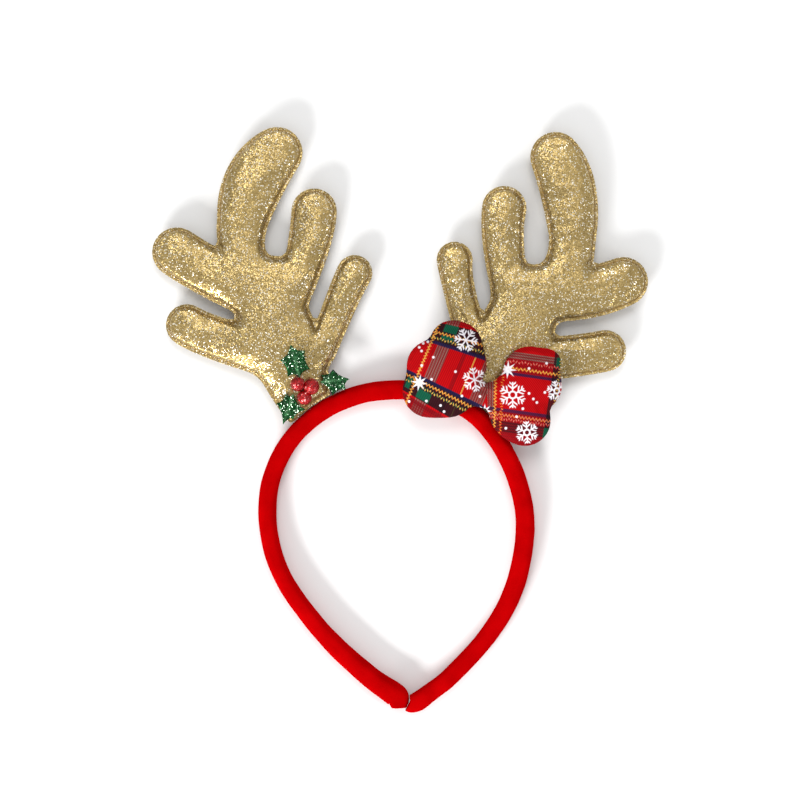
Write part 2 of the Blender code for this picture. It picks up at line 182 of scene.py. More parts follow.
def merged_copy(node):
    """A mesh in work, copied from a node of the frame, as one closed skin."""
    made = bmesh.new()
    made.from_mesh(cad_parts[node].data)
    bmesh.ops.remove_doubles(made, verts=made.verts, dist=MERGE_DISTANCE)
    return made


def add_piece(name, work, *materials):
    """A smooth shaded object from a mesh in work."""
    data = bpy.data.meshes.new(name)
    work.to_mesh(data)
    work.free()
    data.shade_smooth()
    for finish in materials:
        data.materials.append(finish)
    made = bpy.data.objects.new(name, data)
    bpy.context.collection.objects.link(made)
    return made


def positions(piece):
    """The piece's points as rows of numbers."""
    flat = np.zeros(len(piece.data.vertices) * 3)
    piece.data.vertices.foreach_get("co", flat)
    return flat.reshape(-1, 3)


def place(piece, points):
    """Move the piece's points."""
    piece.data.vertices.foreach_set("co", points.ravel())
    piece.data.update()


class Puff(NamedTuple):
    """How a skin is blown up: pressure, spare cloth as a share, and the reach of each point in metres."""
    pressure: float
    spare: float
    reach: float
    lowest: float


def puff(piece, puffing, frames=20):
    """Blow the piece up with cloth, held at its group called sewn."""
    start = positions(piece)
    bpy.context.view_layer.objects.active = piece
    cloth = piece.modifiers.new("cloth", "CLOTH")
    cloth.settings.quality = 4
    cloth.settings.mass = 0.2
    cloth.settings.tension_stiffness = cloth.settings.compression_stiffness = 12
    cloth.settings.shear_stiffness = 6
    cloth.settings.bending_stiffness = 0.02
    cloth.settings.vertex_group_mass = "sewn"
    cloth.settings.use_pressure = True
    cloth.settings.uniform_pressure_force = puffing.pressure
    cloth.settings.shrink_min = -puffing.spare
    cloth.settings.effector_weights.gravity = 0
    cloth.collision_settings.use_collision = False
    cloth.point_cache.frame_start, cloth.point_cache.frame_end = 1, frames
    for step in range(1, frames + 1):
        bpy.context.scene.frame_set(step)
    with bpy.context.temp_override(object=piece, active_object=piece):
        bpy.ops.object.modifier_apply(modifier="cloth")
    bpy.context.scene.frame_set(1)
    moved = positions(piece) - start
    length = np.linalg.norm(moved, axis=1)
    share = np.where(length > puffing.reach, puffing.reach / np.maximum(length, 1e-9), 1)
    ended = start + moved * share[:, None]
    ended[:, 2] = np.maximum(ended[:, 2], np.minimum(start[:, 2], puffing.lowest))
    place(piece, ended)
    print(piece.name, "points", len(start), "moved up to", round(length.max() / MM, 2), "mm")


# %% [markdown]
# ## Node helpers
#
# A finish is a chain of small sums over the place on the surface. The helper below adds one
# node and links or sets its inputs, which keeps each finish to a few readable lines.

# %% Node helpers
def add_node(tree, kind, inputs=(), **settings):
    """Add a node, set its settings, and link or set its inputs by name or number."""
    made = tree.nodes.new("ShaderNode" + kind)
    for key, value in settings.items():
        setattr(made, key, value)
    for key, value in dict(inputs).items():
        if isinstance(value, bpy.types.NodeSocket):
            tree.links.new(value, made.inputs[key])
        else:
            made.inputs[key].default_value = value
    return made


def calc(tree, operation, *values, clamp=False):
    """One sum on numbers."""
    made = add_node(tree, "Math", dict(enumerate(values)), operation=operation, use_clamp=clamp)
    return made.outputs[0]


def blend_colour(tree, share, first, second, how="MIX"):
    """Two colours mixed by a share."""
    made = add_node(tree, "Mix", {0: share, 6: first, 7: second}, data_type="RGBA", blend_type=how)
    return made.outputs[2]


def shade_colour(tree, colour, shade):
    """A colour made darker or lighter by a value."""
    grey = add_node(tree, "CombineColor", {0: shade, 1: shade, 2: shade}).outputs[0]
    return blend_colour(tree, 1.0, colour, grey, "MULTIPLY")


def remap(tree, value, low, high, new_low=0.0, new_high=1.0):
    """A value moved from one range to another, held at its ends."""
    names = {"Value": value, "From Min": low, "From Max": high, "To Min": new_low, "To Max": new_high}
    return add_node(tree, "MapRange", names).outputs[0]


def new_group(name, inputs, outputs):
    """A node group with named inputs and outputs: its tree, its inputs and its output node."""
    tree = bpy.data.node_groups.new(name, "ShaderNodeTree")
    for socket, (kind, value) in inputs.items():
        made = tree.interface.new_socket(socket, in_out="INPUT", socket_type="NodeSocket" + kind)
        if value is not None:
            made.default_value = value
    for socket, kind in outputs.items():
        tree.interface.new_socket(socket, in_out="OUTPUT", socket_type="NodeSocket" + kind)
    return tree, tree.nodes.new("NodeGroupInput").outputs, tree.nodes.new("NodeGroupOutput").inputs


def use_group(tree, group, inputs):
    """A node group placed in a material."""
    made = tree.nodes.new("ShaderNodeGroup")
    made.node_tree = group
    for key, value in inputs.items():
        if isinstance(value, bpy.types.NodeSocket):
            tree.links.new(value, made.inputs[key])
        else:
            made.inputs[key].default_value = value
    return made.outputs


# %% [markdown]
# ## Glitter
#
# Glitter cloth and glitter foil are plastic flakes of about half a millimetre, glued on at
# slightly different tilts. Each flake is one colour and mirrors one direction, so the whole
# looks grainy, and where the light is right for the tilt, single flakes flash white. A Voronoi
# pattern gives the flakes: the random colour of each cell is used once as its brightness and
# once as a small push of its normal.

# %% Glitter group
FLAKE_SIZE = 0.4 * MM

glitter, given, result = new_group(
    "glitter",
    {"Place": ("Vector", None), "Flake Size": ("Float", FLAKE_SIZE), "Tilt": ("Float", 0.5),
     "Dark": ("Color", (0.3, 0.2, 0.08, 1)), "Light": ("Color", (0.8, 0.6, 0.3, 1)),
     "Flash": ("Color", (1, 0.95, 0.8, 1)), "Flash Share": ("Float", 0.1)},
    {"Color": "Color", "Normal": "Vector", "Flake": "Float", "Flash": "Float"})
scale = calc(glitter, "DIVIDE", 1.0, given["Flake Size"])
cells = add_node(glitter, "TexVoronoi", {"Vector": given["Place"], "Scale": scale, "Randomness": 1.0})
parts = add_node(glitter, "SeparateColor", {"Color": cells.outputs["Color"]})
brightness = calc(glitter, "POWER", parts.outputs[0], 1.2)
flash = calc(glitter, "LESS_THAN", parts.outputs[1], given["Flash Share"])
body = blend_colour(glitter, brightness, given["Dark"], given["Light"])
body = blend_colour(glitter, flash, body, given["Flash"])
push = add_node(glitter, "VectorMath", {0: cells.outputs["Color"], 1: (0.5, 0.5, 0.5)}, operation="SUBTRACT")
push = add_node(glitter, "VectorMath", {0: push.outputs[0], "Scale": given["Tilt"]}, operation="SCALE")
normal = add_node(glitter, "NewGeometry").outputs["Normal"]
tilted = add_node(glitter, "VectorMath", {0: normal, 1: push.outputs[0]}, operation="ADD")
tilted = add_node(glitter, "VectorMath", {0: tilted.outputs[0]}, operation="NORMALIZE")
glitter.links.new(body, result["Color"])
glitter.links.new(tilted.outputs[0], result["Normal"])
glitter.links.new(brightness, result["Flake"])
glitter.links.new(flash, result["Flash"])
print("glitter group:", len(glitter.nodes), "nodes")

# %% [markdown]
# ## Gold glitter cloth
#
# The antlers' cloth is tan gold, not yellow: fine flakes over a brown ground. A slow noise
# makes some patches a little darker, as handling does.

# %% Gold finish
GOLD_DARK = (0.225, 0.15, 0.048, 1)
GOLD_LIGHT = (0.56, 0.415, 0.17, 1)
GOLD_FLASH = (1.0, 0.95, 0.82, 1)
DULL_FLAKE = 0.12
BRIGHT_FLAKE = 0.08


def glitter_material(name, dark, light, flash_colour, flash_share, tilt, flake_size, roughness, metallic):
    """A finish of small tilted flakes."""
    made = plain_material(name, light[:3], roughness)
    tree = made.node_tree
    shader = tree.nodes["Principled BSDF"]
    place_on = add_node(tree, "TexCoord").outputs["Object"]
    flakes = use_group(tree, glitter, {
        "Place": place_on, "Flake Size": flake_size, "Tilt": tilt, "Dark": dark, "Light": light,
        "Flash": flash_colour, "Flash Share": flash_share})
    patches = add_node(tree, "TexNoise", {"Vector": place_on, "Scale": 60.0, "Detail": 3.0}).outputs[0]
    shade = remap(tree, patches, 0.3, 0.7, 0.86, 1.08)
    tree.links.new(shade_colour(tree, flakes["Color"], shade), shader.inputs["Base Color"])
    tree.links.new(flakes["Normal"], shader.inputs["Normal"])
    rough = remap(tree, flakes["Flake"], 0, 1, roughness + DULL_FLAKE, roughness - BRIGHT_FLAKE)
    tree.links.new(rough, shader.inputs["Roughness"])
    shader.inputs["Metallic"].default_value = metallic
    return made


gold = glitter_material(
    "gold_glitter", GOLD_DARK, GOLD_LIGHT, GOLD_FLASH, flash_share=0.07, tilt=0.38,
    flake_size=FLAKE_SIZE, roughness=0.30, metallic=0.8)
print("gold finish:", len(gold.node_tree.nodes), "nodes")

# %% [markdown]
# ## The stuffed antlers
#
# A real one is two layers of cloth, sewn together a little inside their cut edge and stuffed.
# The flat rim outside the seam stays thin. The frame's solid has this layout already, so its
# merged copy is cut finer, held along the rim, and puffed with cloth. The cut edge is then
# made a little uneven, as scissors leave it.

# %% Antlers
SEAM_LEVEL = 6.4 * MM
CUT_EDGE_HALF = 0.6 * MM
STITCHED_HALF = 0.36 * MM
SEAM_DEPTH = 1.35 * MM
FREE_DEPTH = 2.3 * MM
RIM_SHARE = 1.08
RIM_WAVE = 0.2 * MM
RIM_WAVES = 260
ANTLER_PUFF = Puff(pressure=3.0, spare=0.015, reach=0.9 * MM, lowest=0.0)
PLATEAU = 7.6 * MM
FLANK_STEEPNESS = 1.2


def is_upright(edge):
    """True for an edge of the thin wall that joins the front and the back."""
    first, second = (vert.co for vert in edge.verts)
    return math.hypot(first.x - second.x, first.y - second.y) < MERGE_DISTANCE


def border_line(work):
    """The points of the front's cut edge, in order."""
    wall = [edge for edge in work.edges if is_upright(edge)]
    tops = {max(edge.verts, key=lambda vert: vert.co.z) for edge in wall}
    bottoms = {min(edge.verts, key=lambda vert: vert.co.z) for edge in wall}
    following = {}
    for edge in work.edges:
        if set(edge.verts) <= tops and any(bottoms & set(face.verts) for face in edge.link_faces):
            for vert in edge.verts:
                following.setdefault(vert, []).append(edge.other_vert(vert))
    walked = [next(iter(sorted(tops, key=lambda vert: vert.co.y)))]
    walked.append(following[walked[0]][0])
    while walked[-1] is not walked[0]:
        walked.append(next(vert for vert in following[walked[-1]] if vert is not walked[-2]))
    return np.array([tuple(vert.co) for vert in walked[:-1]])


def depths(points, border):
    """How far each point is from the cut edge, in the plan."""
    first, second = border[:, :2], np.roll(border[:, :2], -1, axis=0)
    span = second - first
    offset = points[:, None, :2] - first
    share = np.clip(np.sum(offset * span, axis=2) / np.sum(span * span, axis=1), 0, 1)
    away = offset - share[..., None] * span
    return np.min(np.hypot(away[..., 0], away[..., 1]), axis=1)


def inset(border, depth):
    """The border moved inwards, in the plan."""
    ahead = np.roll(border, -1, axis=0) - np.roll(border, 1, axis=0)
    side = np.column_stack((-ahead[:, 1], ahead[:, 0], np.zeros(len(border))))
    side /= np.linalg.norm(side, axis=1)[:, None]
    following = np.roll(border, -1, axis=0)
    area = np.sum(border[:, 0] * following[:, 1] - following[:, 0] * border[:, 1])
    return border + side * math.copysign(depth, area)


def hold(work, weights):
    """Mark how firmly each point is sewn down."""
    layer = work.verts.layers.deform.verify()
    for vert, weight in zip(work.verts, weights):
        vert[layer][0] = float(weight)


def make_antler(node):
    """One stuffed antler and the line of its seam."""
    work = merged_copy(node)
    border = border_line(work)
    bmesh.ops.subdivide_edges(work, edges=work.edges, cuts=2, use_grid_fill=True)
    depth = depths(np.array([tuple(vert.co) for vert in work.verts]), border)
    hold(work, np.clip((FREE_DEPTH - depth) / (FREE_DEPTH - SEAM_DEPTH), 0, 1))
    piece = add_piece(node + "_cloth", work, gold)
    piece.vertex_groups.new(name="sewn")
    puff(piece, ANTLER_PUFF)
    points = positions(piece)
    front = np.where(points[:, 2] > SEAM_LEVEL, 1, -1)
    rise = points[:, 2] - SEAM_LEVEL
    flattened = PLATEAU * np.tanh(FLANK_STEEPNESS * rise / PLATEAU)
    points[:, 2] = SEAM_LEVEL + np.where(front > 0, flattened, rise)
    for index in np.nonzero(depth < SEAM_DEPTH * RIM_SHARE)[0]:
        share = min(depth[index] / SEAM_DEPTH, 1)
        half = CUT_EDGE_HALF + (STITCHED_HALF - CUT_EDGE_HALF) * share
        wave = RIM_WAVE * (1 - share) * noise.noise(Vector(points[index]) * RIM_WAVES)
        points[index, 2] = SEAM_LEVEL + front[index] * half + wave
    place(piece, points)
    smooth = piece.modifiers.new("finer", "SUBSURF")
    smooth.levels = smooth.render_levels = 1
    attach(piece, "root")
    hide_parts(node)
    return piece, inset(border, SEAM_DEPTH)


antlers = {}
for node in ("antler_left", "antler_right"):
    antlers[node] = make_antler(node)
    print(node, "seam line of", len(antlers[node][1]), "points")

# %% [markdown]
# ## The topstitching
#
# A line of thread runs just inside the cut edge. Every stitch is the same small shape, a
# capsule that is turned along the seam, so it is made once and copied along the line. The
# stitches sink between the two layers, which is why their pitch shows as a row of dots.

# %% Topstitching
STITCH_PITCH = 2.3 * MM
STITCH_LENGTH = 1.9 * MM
STITCH_RADIUS = 0.2 * MM
STITCH_LIFT = 0.04 * MM
ABOVE_ALL = 0.1
THREAD = (0.30, 0.16, 0.035)


def even_stops(path, pitch):
    """Places and directions at even steps round a closed path."""
    loop = np.vstack((path, path[:1]))
    run = np.concatenate(([0], np.cumsum(np.linalg.norm(np.diff(loop, axis=0), axis=1))))
    stops = np.linspace(0, run[-1], round(run[-1] / pitch) + 1)[:-1]
    spots = np.column_stack([np.interp(stops, run, loop[:, axis]) for axis in range(3)])
    ahead = np.roll(spots, -1, axis=0) - np.roll(spots, 1, axis=0)
    return spots, ahead / np.linalg.norm(ahead, axis=1)[:, None]


def surface_tree(piece):
    """The piece's finished surface, for finding heights on it."""
    return BVHTree.FromObject(piece, bpy.context.evaluated_depsgraph_get())


def surface_level(tree, x, y, side, fallback):
    """The height of the surface over or under a place."""
    hit = tree.ray_cast(Vector((x, y, side * ABOVE_ALL)), Vector((0, 0, -side)))
    return fallback if hit[0] is None else hit[0].z


def make_stitch():
    """One stitch: a little capsule along Z."""
    work = bmesh.new()
    bmesh.ops.create_uvsphere(work, u_segments=6, v_segments=4, radius=STITCH_RADIUS)
    bmesh.ops.scale(work, verts=work.verts, vec=(1, 1, STITCH_LENGTH / STITCH_RADIUS / 2))
    data = bpy.data.meshes.new("stitch")
    work.to_mesh(data)
    work.free()
    return data


def sew(name, piece, path, finish):
    """Stitches on the front and the back of a sewn edge."""
    tree = surface_tree(piece)
    stitch = make_stitch()
    work = bmesh.new()
    spots, ahead = even_stops(path, STITCH_PITCH)
    for side in (1, -1):
        for (x, y, z), way in zip(spots, ahead):
            level = surface_level(tree, x, y, side, z)
            turn = Vector(way).to_track_quat("Z", "X").to_matrix().to_4x4()
            at = Matrix.Translation((x, y, level + side * STITCH_LIFT)) @ turn
            stitch.transform(at)
            work.from_mesh(stitch)
            stitch.transform(at.inverted())
    bpy.data.meshes.remove(stitch)
    made = add_piece(name, work, finish)
    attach(made, "root")
    return made, len(spots)


thread = plain_material("gold_thread", THREAD, 0.55)
shade = add_node(thread.node_tree, "TexNoise", {
    "Vector": add_node(thread.node_tree, "TexCoord").outputs["Object"], "Scale": 1500.0}).outputs[0]
thread.node_tree.links.new(
    blend_colour(thread.node_tree, shade, (*(0.6 * value for value in THREAD), 1), (0.50, 0.31, 0.10, 1)),
    thread.node_tree.nodes["Principled BSDF"].inputs["Base Color"])
for node, (piece, path) in antlers.items():
    stitches, count = sew(node + "_stitches", piece, path, thread)
    print(stitches.name, count, "stitches on each side")

# %% [markdown]
# ## Velvet
#
# Velvet is a short dense pile. Looked at straight on it is deep and dull, and where it turns
# away the tips of the pile catch light. The sheen of the Principled shader does that, and a
# fine noise on the bump and the colour gives the pile its grain.

# %% Velvet finish
VELVET_DEEP = (0.32, 0.0, 0.0006, 1)
VELVET_BRIGHT = (0.45, 0.0004, 0.0012, 1)

velvet = plain_material("red_velvet", VELVET_BRIGHT[:3], 0.9)
tree = velvet.node_tree
shader = tree.nodes["Principled BSDF"]
place_on = add_node(tree, "TexCoord").outputs["Object"]
slow = add_node(tree, "TexNoise", {"Vector": place_on, "Scale": 90.0, "Detail": 4.0}).outputs[0]
fine = add_node(tree, "TexNoise", {"Vector": place_on, "Scale": 2600.0, "Detail": 2.0}).outputs[0]
mixed = calc(tree, "ADD", calc(tree, "MULTIPLY", slow, 0.6), calc(tree, "MULTIPLY", fine, 0.4))
velvet_colour = blend_colour(tree, remap(tree, mixed, 0.35, 0.65), VELVET_DEEP, VELVET_BRIGHT)
tree.links.new(velvet_colour, shader.inputs["Base Color"])
pile = add_node(tree, "Bump", {"Strength": 0.35, "Distance": 0.1 * MM, "Height": fine}).outputs[0]
tree.links.new(pile, shader.inputs["Normal"])
shader.inputs["Specular IOR Level"].default_value = 0.0
shader.inputs["Sheen Weight"].default_value = 0.12
shader.inputs["Sheen Roughness"].default_value = 0.4
shader.inputs["Sheen Tint"].default_value = (1.0, 0.0, 0.0, 1)

# %% [markdown]
# ## The hoop
#
# The hoop is a springy strip with foam round it and a velvet tube drawn over. The frame's solid
# has the right line and section, so a merged copy keeps them. Cloth that is drawn round a bend
# is never perfectly even, so the surface is moved in and out by a slow noise, and the cut ends
# are rounded over.

# %% Hoop
WRAP_UNEVENNESS = 0.14 * MM
VELVET_PILE = 0.15 * MM
SLOW_WAVES = 120
QUICK_WAVES = 420

work = merged_copy("band")
bmesh.ops.subdivide_edges(work, edges=work.edges, cuts=2, use_grid_fill=True)
for _ in range(3):
    bmesh.ops.smooth_vert(
        work, verts=work.verts, factor=0.4, use_axis_x=True, use_axis_y=True, use_axis_z=True)
work.normal_update()
for vert in work.verts:
    wave = noise.noise(vert.co * SLOW_WAVES) + 0.5 * noise.noise(vert.co * QUICK_WAVES)
    vert.co += vert.normal * (VELVET_PILE + WRAP_UNEVENNESS * wave)
    vert.co.z = max(vert.co.z, 0)
hoop = add_piece("band_velvet", work, velvet)
smooth = hoop.modifiers.new("finer", "SUBSURF")
smooth.levels = smooth.render_levels = 1
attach(hoop, "root")
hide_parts("band")
print("hoop:", len(hoop.data.vertices), "points")

# %% [markdown]
# ## Tartan cloth: the pieces of the pattern
#
# Tartan is red ground crossed by bands of navy, black and green and by thin yellow lines. Where
# a coloured thread crosses red, the eye sees a ribbed mix of both, and where two green bands
# cross there is a clean green block. On this cloth small snowflakes and dots are printed in
# white. Bands, zigzag lines, snowflakes and dots are one small node group each.

# %% Pattern groups
BOW_SPLIT_X = 41.4
RED = (0.43, 0.002, 0.004, 1)
DEEP_RED = (0.17, 0.003, 0.006, 1)
BROWN = (0.24, 0.10, 0.085, 1)
NAVY = (0.014, 0.010, 0.045, 1)
BLACK = (0.006, 0.006, 0.009, 1)
GREEN = (0.006, 0.085, 0.045, 1)
YELLOW = (0.72, 0.42, 0.08, 1)
ORANGE = (0.75, 0.20, 0.03, 1)
PINK = (0.62, 0.16, 0.12, 1)
WHITE = (0.78, 0.76, 0.80, 1)
SOFT_EDGE = 0.12


def soft_step(tree, value):
    """One above zero and nought below it, with a soft edge."""
    return remap(tree, value, -SOFT_EDGE, SOFT_EDGE)


line_group, given, result = new_group(
    "cloth_band",
    {"Coordinate": ("Float", 0.0), "Middle": ("Float", 0.0), "Half Width": ("Float", 1.0)},
    {"Mask": "Float"})
off = calc(line_group, "ABSOLUTE", calc(line_group, "SUBTRACT", given["Coordinate"], given["Middle"]))
line_group.links.new(
    soft_step(line_group, calc(line_group, "SUBTRACT", given["Half Width"], off)), result["Mask"])

zigzag_group, given, result = new_group(
    "zigzag_line", {"Along": ("Float", 0.0), "Across": ("Float", 0.0), "Middle": ("Float", 0.0),
                    "Pitch": ("Float", 1.7), "Swing": ("Float", 0.55), "Half Width": ("Float", 0.42)},
    {"Mask": "Float"})
saw = calc(zigzag_group, "FRACT", calc(zigzag_group, "DIVIDE", given["Along"], given["Pitch"]))
bent = calc(zigzag_group, "ABSOLUTE", calc(zigzag_group, "SUBTRACT", saw, 0.5))
bent = calc(zigzag_group, "SUBTRACT", bent, 0.25)
middle = calc(zigzag_group, "ADD", given["Middle"], calc(
    zigzag_group, "MULTIPLY", bent, calc(zigzag_group, "MULTIPLY", given["Swing"], 4.0)))
off = calc(zigzag_group, "ABSOLUTE", calc(zigzag_group, "SUBTRACT", given["Across"], middle))
zigzag_group.links.new(
    soft_step(zigzag_group, calc(zigzag_group, "SUBTRACT", given["Half Width"], off)), result["Mask"])

dot_group, given, result = new_group(
    "printed_dot", {"Place": ("Vector", None), "Middle": ("Vector", None), "Radius": ("Float", 0.6)},
    {"Mask": "Float"})
off = add_node(dot_group, "VectorMath", {0: given["Place"], 1: given["Middle"]}, operation="DISTANCE")
dot_group.links.new(
    soft_step(dot_group, calc(dot_group, "SUBTRACT", given["Radius"], off.outputs["Value"])), result["Mask"])

# %% [markdown]
# A snowflake is one arm, repeated round a point. The place is turned into an angle and folded
# until only one half of one arm is left. There, a bar, two side branches, a ring and a tapered
# ray are easy to draw, and every arm gets them.

# %% Snowflake group
BRANCHES = ((0.48, 0.36), (0.78, 0.24))
BRANCH_ANGLE = math.radians(52)
RING_SHARE = 0.27
RING_THICKNESS = 1.3
HOLLOW_SHARE = 0.2
RAY_SLOPE = 0.22
HALF_SECTOR_ON = 50.5

flake_group, given, result = new_group(
    "printed_snowflake",
    {"Place": ("Vector", None), "Middle": ("Vector", None), "Radius": ("Float", 5.0),
     "Arms": ("Float", 6.0), "Turn": ("Float", 0.0), "Bar": ("Float", 0.31), "Ring": ("Float", 0.0),
     "Rays": ("Float", 0.0)},
    {"Mask": "Float"})


def flake_sum(operation, *values):
    """One sum in the snowflake group."""
    return calc(flake_group, operation, *values)


radius, bar = given["Radius"], given["Bar"]
off = add_node(flake_group, "VectorMath", {0: given["Place"], 1: given["Middle"]}, operation="SUBTRACT")
split = add_node(flake_group, "SeparateXYZ", {0: off.outputs[0]})
reach = add_node(flake_group, "CombineXYZ", {0: split.outputs[0], 1: split.outputs[1]})
reach = add_node(flake_group, "VectorMath", {0: reach.outputs[0]}, operation="LENGTH").outputs["Value"]
angle = flake_sum("ADD", flake_sum("ARCTAN2", split.outputs[1], split.outputs[0]), given["Turn"])
sector = flake_sum("DIVIDE", 2 * math.pi, given["Arms"])
turned = flake_sum("FRACT", flake_sum("ADD", flake_sum("DIVIDE", angle, sector), HALF_SECTOR_ON))
folded = flake_sum("MULTIPLY", flake_sum("ABSOLUTE", flake_sum("SUBTRACT", turned, 0.5)), sector)
along = flake_sum("MULTIPLY", reach, flake_sum("COSINE", folded))
across = flake_sum("MULTIPLY", reach, flake_sum("SINE", folded))
best = flake_sum("MINIMUM", flake_sum("SUBTRACT", bar, across), flake_sum("SUBTRACT", radius, along))
for share, length in BRANCHES:
    ahead = flake_sum("SUBTRACT", along, flake_sum("MULTIPLY", radius, share))
    beside = flake_sum("ABSOLUTE", flake_sum(
        "SUBTRACT", flake_sum("MULTIPLY", ahead, math.sin(BRANCH_ANGLE)),
        flake_sum("MULTIPLY", across, math.cos(BRANCH_ANGLE))))
    branch = flake_sum("MINIMUM", flake_sum("SUBTRACT", bar, beside), flake_sum(
        "SUBTRACT", flake_sum("MULTIPLY", radius, length), across))
    best = flake_sum("MAXIMUM", best, branch)
ring_off = flake_sum("ABSOLUTE", flake_sum("SUBTRACT", reach, flake_sum("MULTIPLY", radius, RING_SHARE)))
ring = flake_sum("SUBTRACT", flake_sum("MULTIPLY", bar, RING_THICKNESS), ring_off)
hollowed = flake_sum("MINIMUM", best, flake_sum(
    "SUBTRACT", reach, flake_sum("MULTIPLY", radius, HOLLOW_SHARE)))
ringed = flake_sum("MAXIMUM", ring, hollowed)
ray = flake_sum("SUBTRACT", flake_sum(
    "MULTIPLY", flake_sum("SUBTRACT", radius, along), RAY_SLOPE), across)
best = add_node(flake_group, "Mix", {0: given["Ring"], 2: best, 3: ringed}).outputs[0]
best = add_node(flake_group, "Mix", {0: given["Rays"], 2: best, 3: ray}).outputs[0]
flake_group.links.new(soft_step(flake_group, best), result["Mask"])
print("snowflake group:", len(flake_group.nodes), "nodes")

# %% [markdown]
# ## Tartan cloth: the tables
#
# The two halves of the bow are cut from the same cloth at different turns, so each has its own
# table. Across is a stripe that runs up the lobe, and up is a band that runs along it. Places
# are in mm from the middle of the lobe's pattern.

# %% Pattern tables
class Lobe(NamedTuple):
    """One half of the bow: its middle in mm, the turn of its weave, and how its threads spread."""
    x: float
    y: float
    turn: float
    fan: float
    lean: float


class Band(NamedTuple):
    """A stripe or band: across or up, middle and half width in mm, colour, share and ribs."""
    way: str
    middle: float
    half: float
    colour: tuple
    share: float
    ribs: float


class Zigzag(NamedTuple):
    """A zigzag line: across or up, its middle in mm and its two colours."""
    way: str
    middle: float
    colour: tuple
    other: tuple


class Block(NamedTuple):
    """A clean block where two bands of one colour cross."""
    across: float
    up: float
    half_across: float
    half_up: float
    colour: tuple


class Snowflake(NamedTuple):
    """A printed snowflake: place and radius in mm, arms, turn in degrees and its kind."""
    x: float
    y: float
    radius: float
    arms: int
    turn: float
    kind: str


LEFT_LOBE = Lobe(22.1, 23.3, -22.5, 0.0075, 0.0)
RIGHT_LOBE = Lobe(61.0, 11.8, -8.0, 0.0, 0.0073)
LEFT_BANDS = (
    Band("across", -11.9, 0.30, YELLOW, 0.75, 1.0),
    Band("across", -9.6, 0.25, DEEP_RED, 0.5, 0.0),
    Band("across", -5.6, 3.0, DEEP_RED, 0.9, 0.0),
    Band("across", -5.6, 3.0, BROWN, 0.9, 1.3),
    Band("across", 4.8, 0.9, DEEP_RED, 0.75, 0.6),
    Band("across", 10.3, 0.30, YELLOW, 0.7, 1.0),
    Band("across", 18.5, 3.4, DEEP_RED, 0.9, 0.0),
    Band("across", 18.5, 3.4, BROWN, 0.7, 1.3),
    Band("up", 16.3, 5.4, BLACK, 0.94, 0.0),
    Band("up", 11.0, 0.8, NAVY, 0.95, 0.0),
    Band("up", 24.0, 1.4, DEEP_RED, 0.6, 0.8),
    Band("up", -13.2, 5.4, BLACK, 0.94, 0.0),
    Band("up", -8.3, 0.8, NAVY, 0.95, 0.0),
    Band("up", -20.6, 1.0, DEEP_RED, 0.9, 0.0),
    Band("up", -25.0, 4.0, DEEP_RED, 0.8, 0.6),
)
LEFT_ZIGZAGS = (
    Zigzag("up", 16.3, YELLOW, ORANGE), Zigzag("up", 13.4, YELLOW, GREEN),
    Zigzag("up", -10.2, ORANGE, YELLOW), Zigzag("up", -12.6, YELLOW, GREEN),
    Zigzag("across", -11.9, YELLOW, ORANGE),
)
LEFT_BLOCKS = (
    Block(-5.6, 19.6, 3.2, 2.0, GREEN), Block(-5.6, -15.9, 3.4, 2.3, GREEN),
    Block(-14.5, -13.5, 1.2, 3.0, GREEN), Block(-5.6, 14.9, 3.0, 0.9, GREEN),
)
RIGHT_BANDS = (
    Band("across", -18.3, 1.9, DEEP_RED, 0.9, 0.0),
    Band("across", -18.3, 1.9, BROWN, 0.85, 1.3),
    Band("up", 17.6, 1.7, DEEP_RED, 0.9, 0.0),
    Band("up", 17.6, 1.7, BROWN, 0.9, 1.3),
    Band("up", 12.6, 3.2, DEEP_RED, 0.75, 0.4),
    Band("up", 8.8, 0.7, NAVY, 0.9, 0.0),
    Band("up", -8.8, 0.8, NAVY, 0.85, 0.0),
    Band("up", -11.9, 2.4, DEEP_RED, 0.8, 0.4),
    Band("up", -16.6, 2.6, BLACK, 0.85, 0.3),
    Band("up", -22.6, 3.4, DEEP_RED, 0.85, 0.4),
    Band("across", 11.4, 1.7, BLACK, 0.88, 0.2),
    Band("across", 14.0, 0.5, NAVY, 0.7, 0.0),
    Band("across", 16.5, 0.6, DEEP_RED, 0.7, 0.0),
)
RIGHT_ZIGZAGS = (
    Zigzag("up", 14.6, PINK, RED), Zigzag("up", 11.4, YELLOW, ORANGE),
    Zigzag("up", -11.1, ORANGE, PINK), Zigzag("up", -12.9, PINK, RED),
    Zigzag("across", -16.0, ORANGE, YELLOW), Zigzag("across", -12.7, ORANGE, RED),
    Zigzag("across", 13.2, YELLOW, GREEN),
)
RIGHT_BLOCKS = (Block(12.6, 17.2, 1.7, 2.3, GREEN), Block(11.5, -16.8, 2.0, 2.3, GREEN))
SNOWFLAKES = (
    Snowflake(9.1, 17.6, 4.0, 8, 10, "rays"), Snowflake(51.1, 23.8, 4.2, 8, 5, "rays"),
    Snowflake(40.3, 4.1, 3.4, 8, 0, "rays"), Snowflake(31.2, 37.7, 5.4, 6, 8, "plain"),
    Snowflake(35.3, 19.0, 5.6, 6, 20, "plain"), Snowflake(53.3, 11.8, 6.1, 6, 30, "ring"),
    Snowflake(60.2, -6.0, 5.2, 6, 25, "ring"), Snowflake(74.4, 13.7, 4.8, 6, 15, "ring"),
)
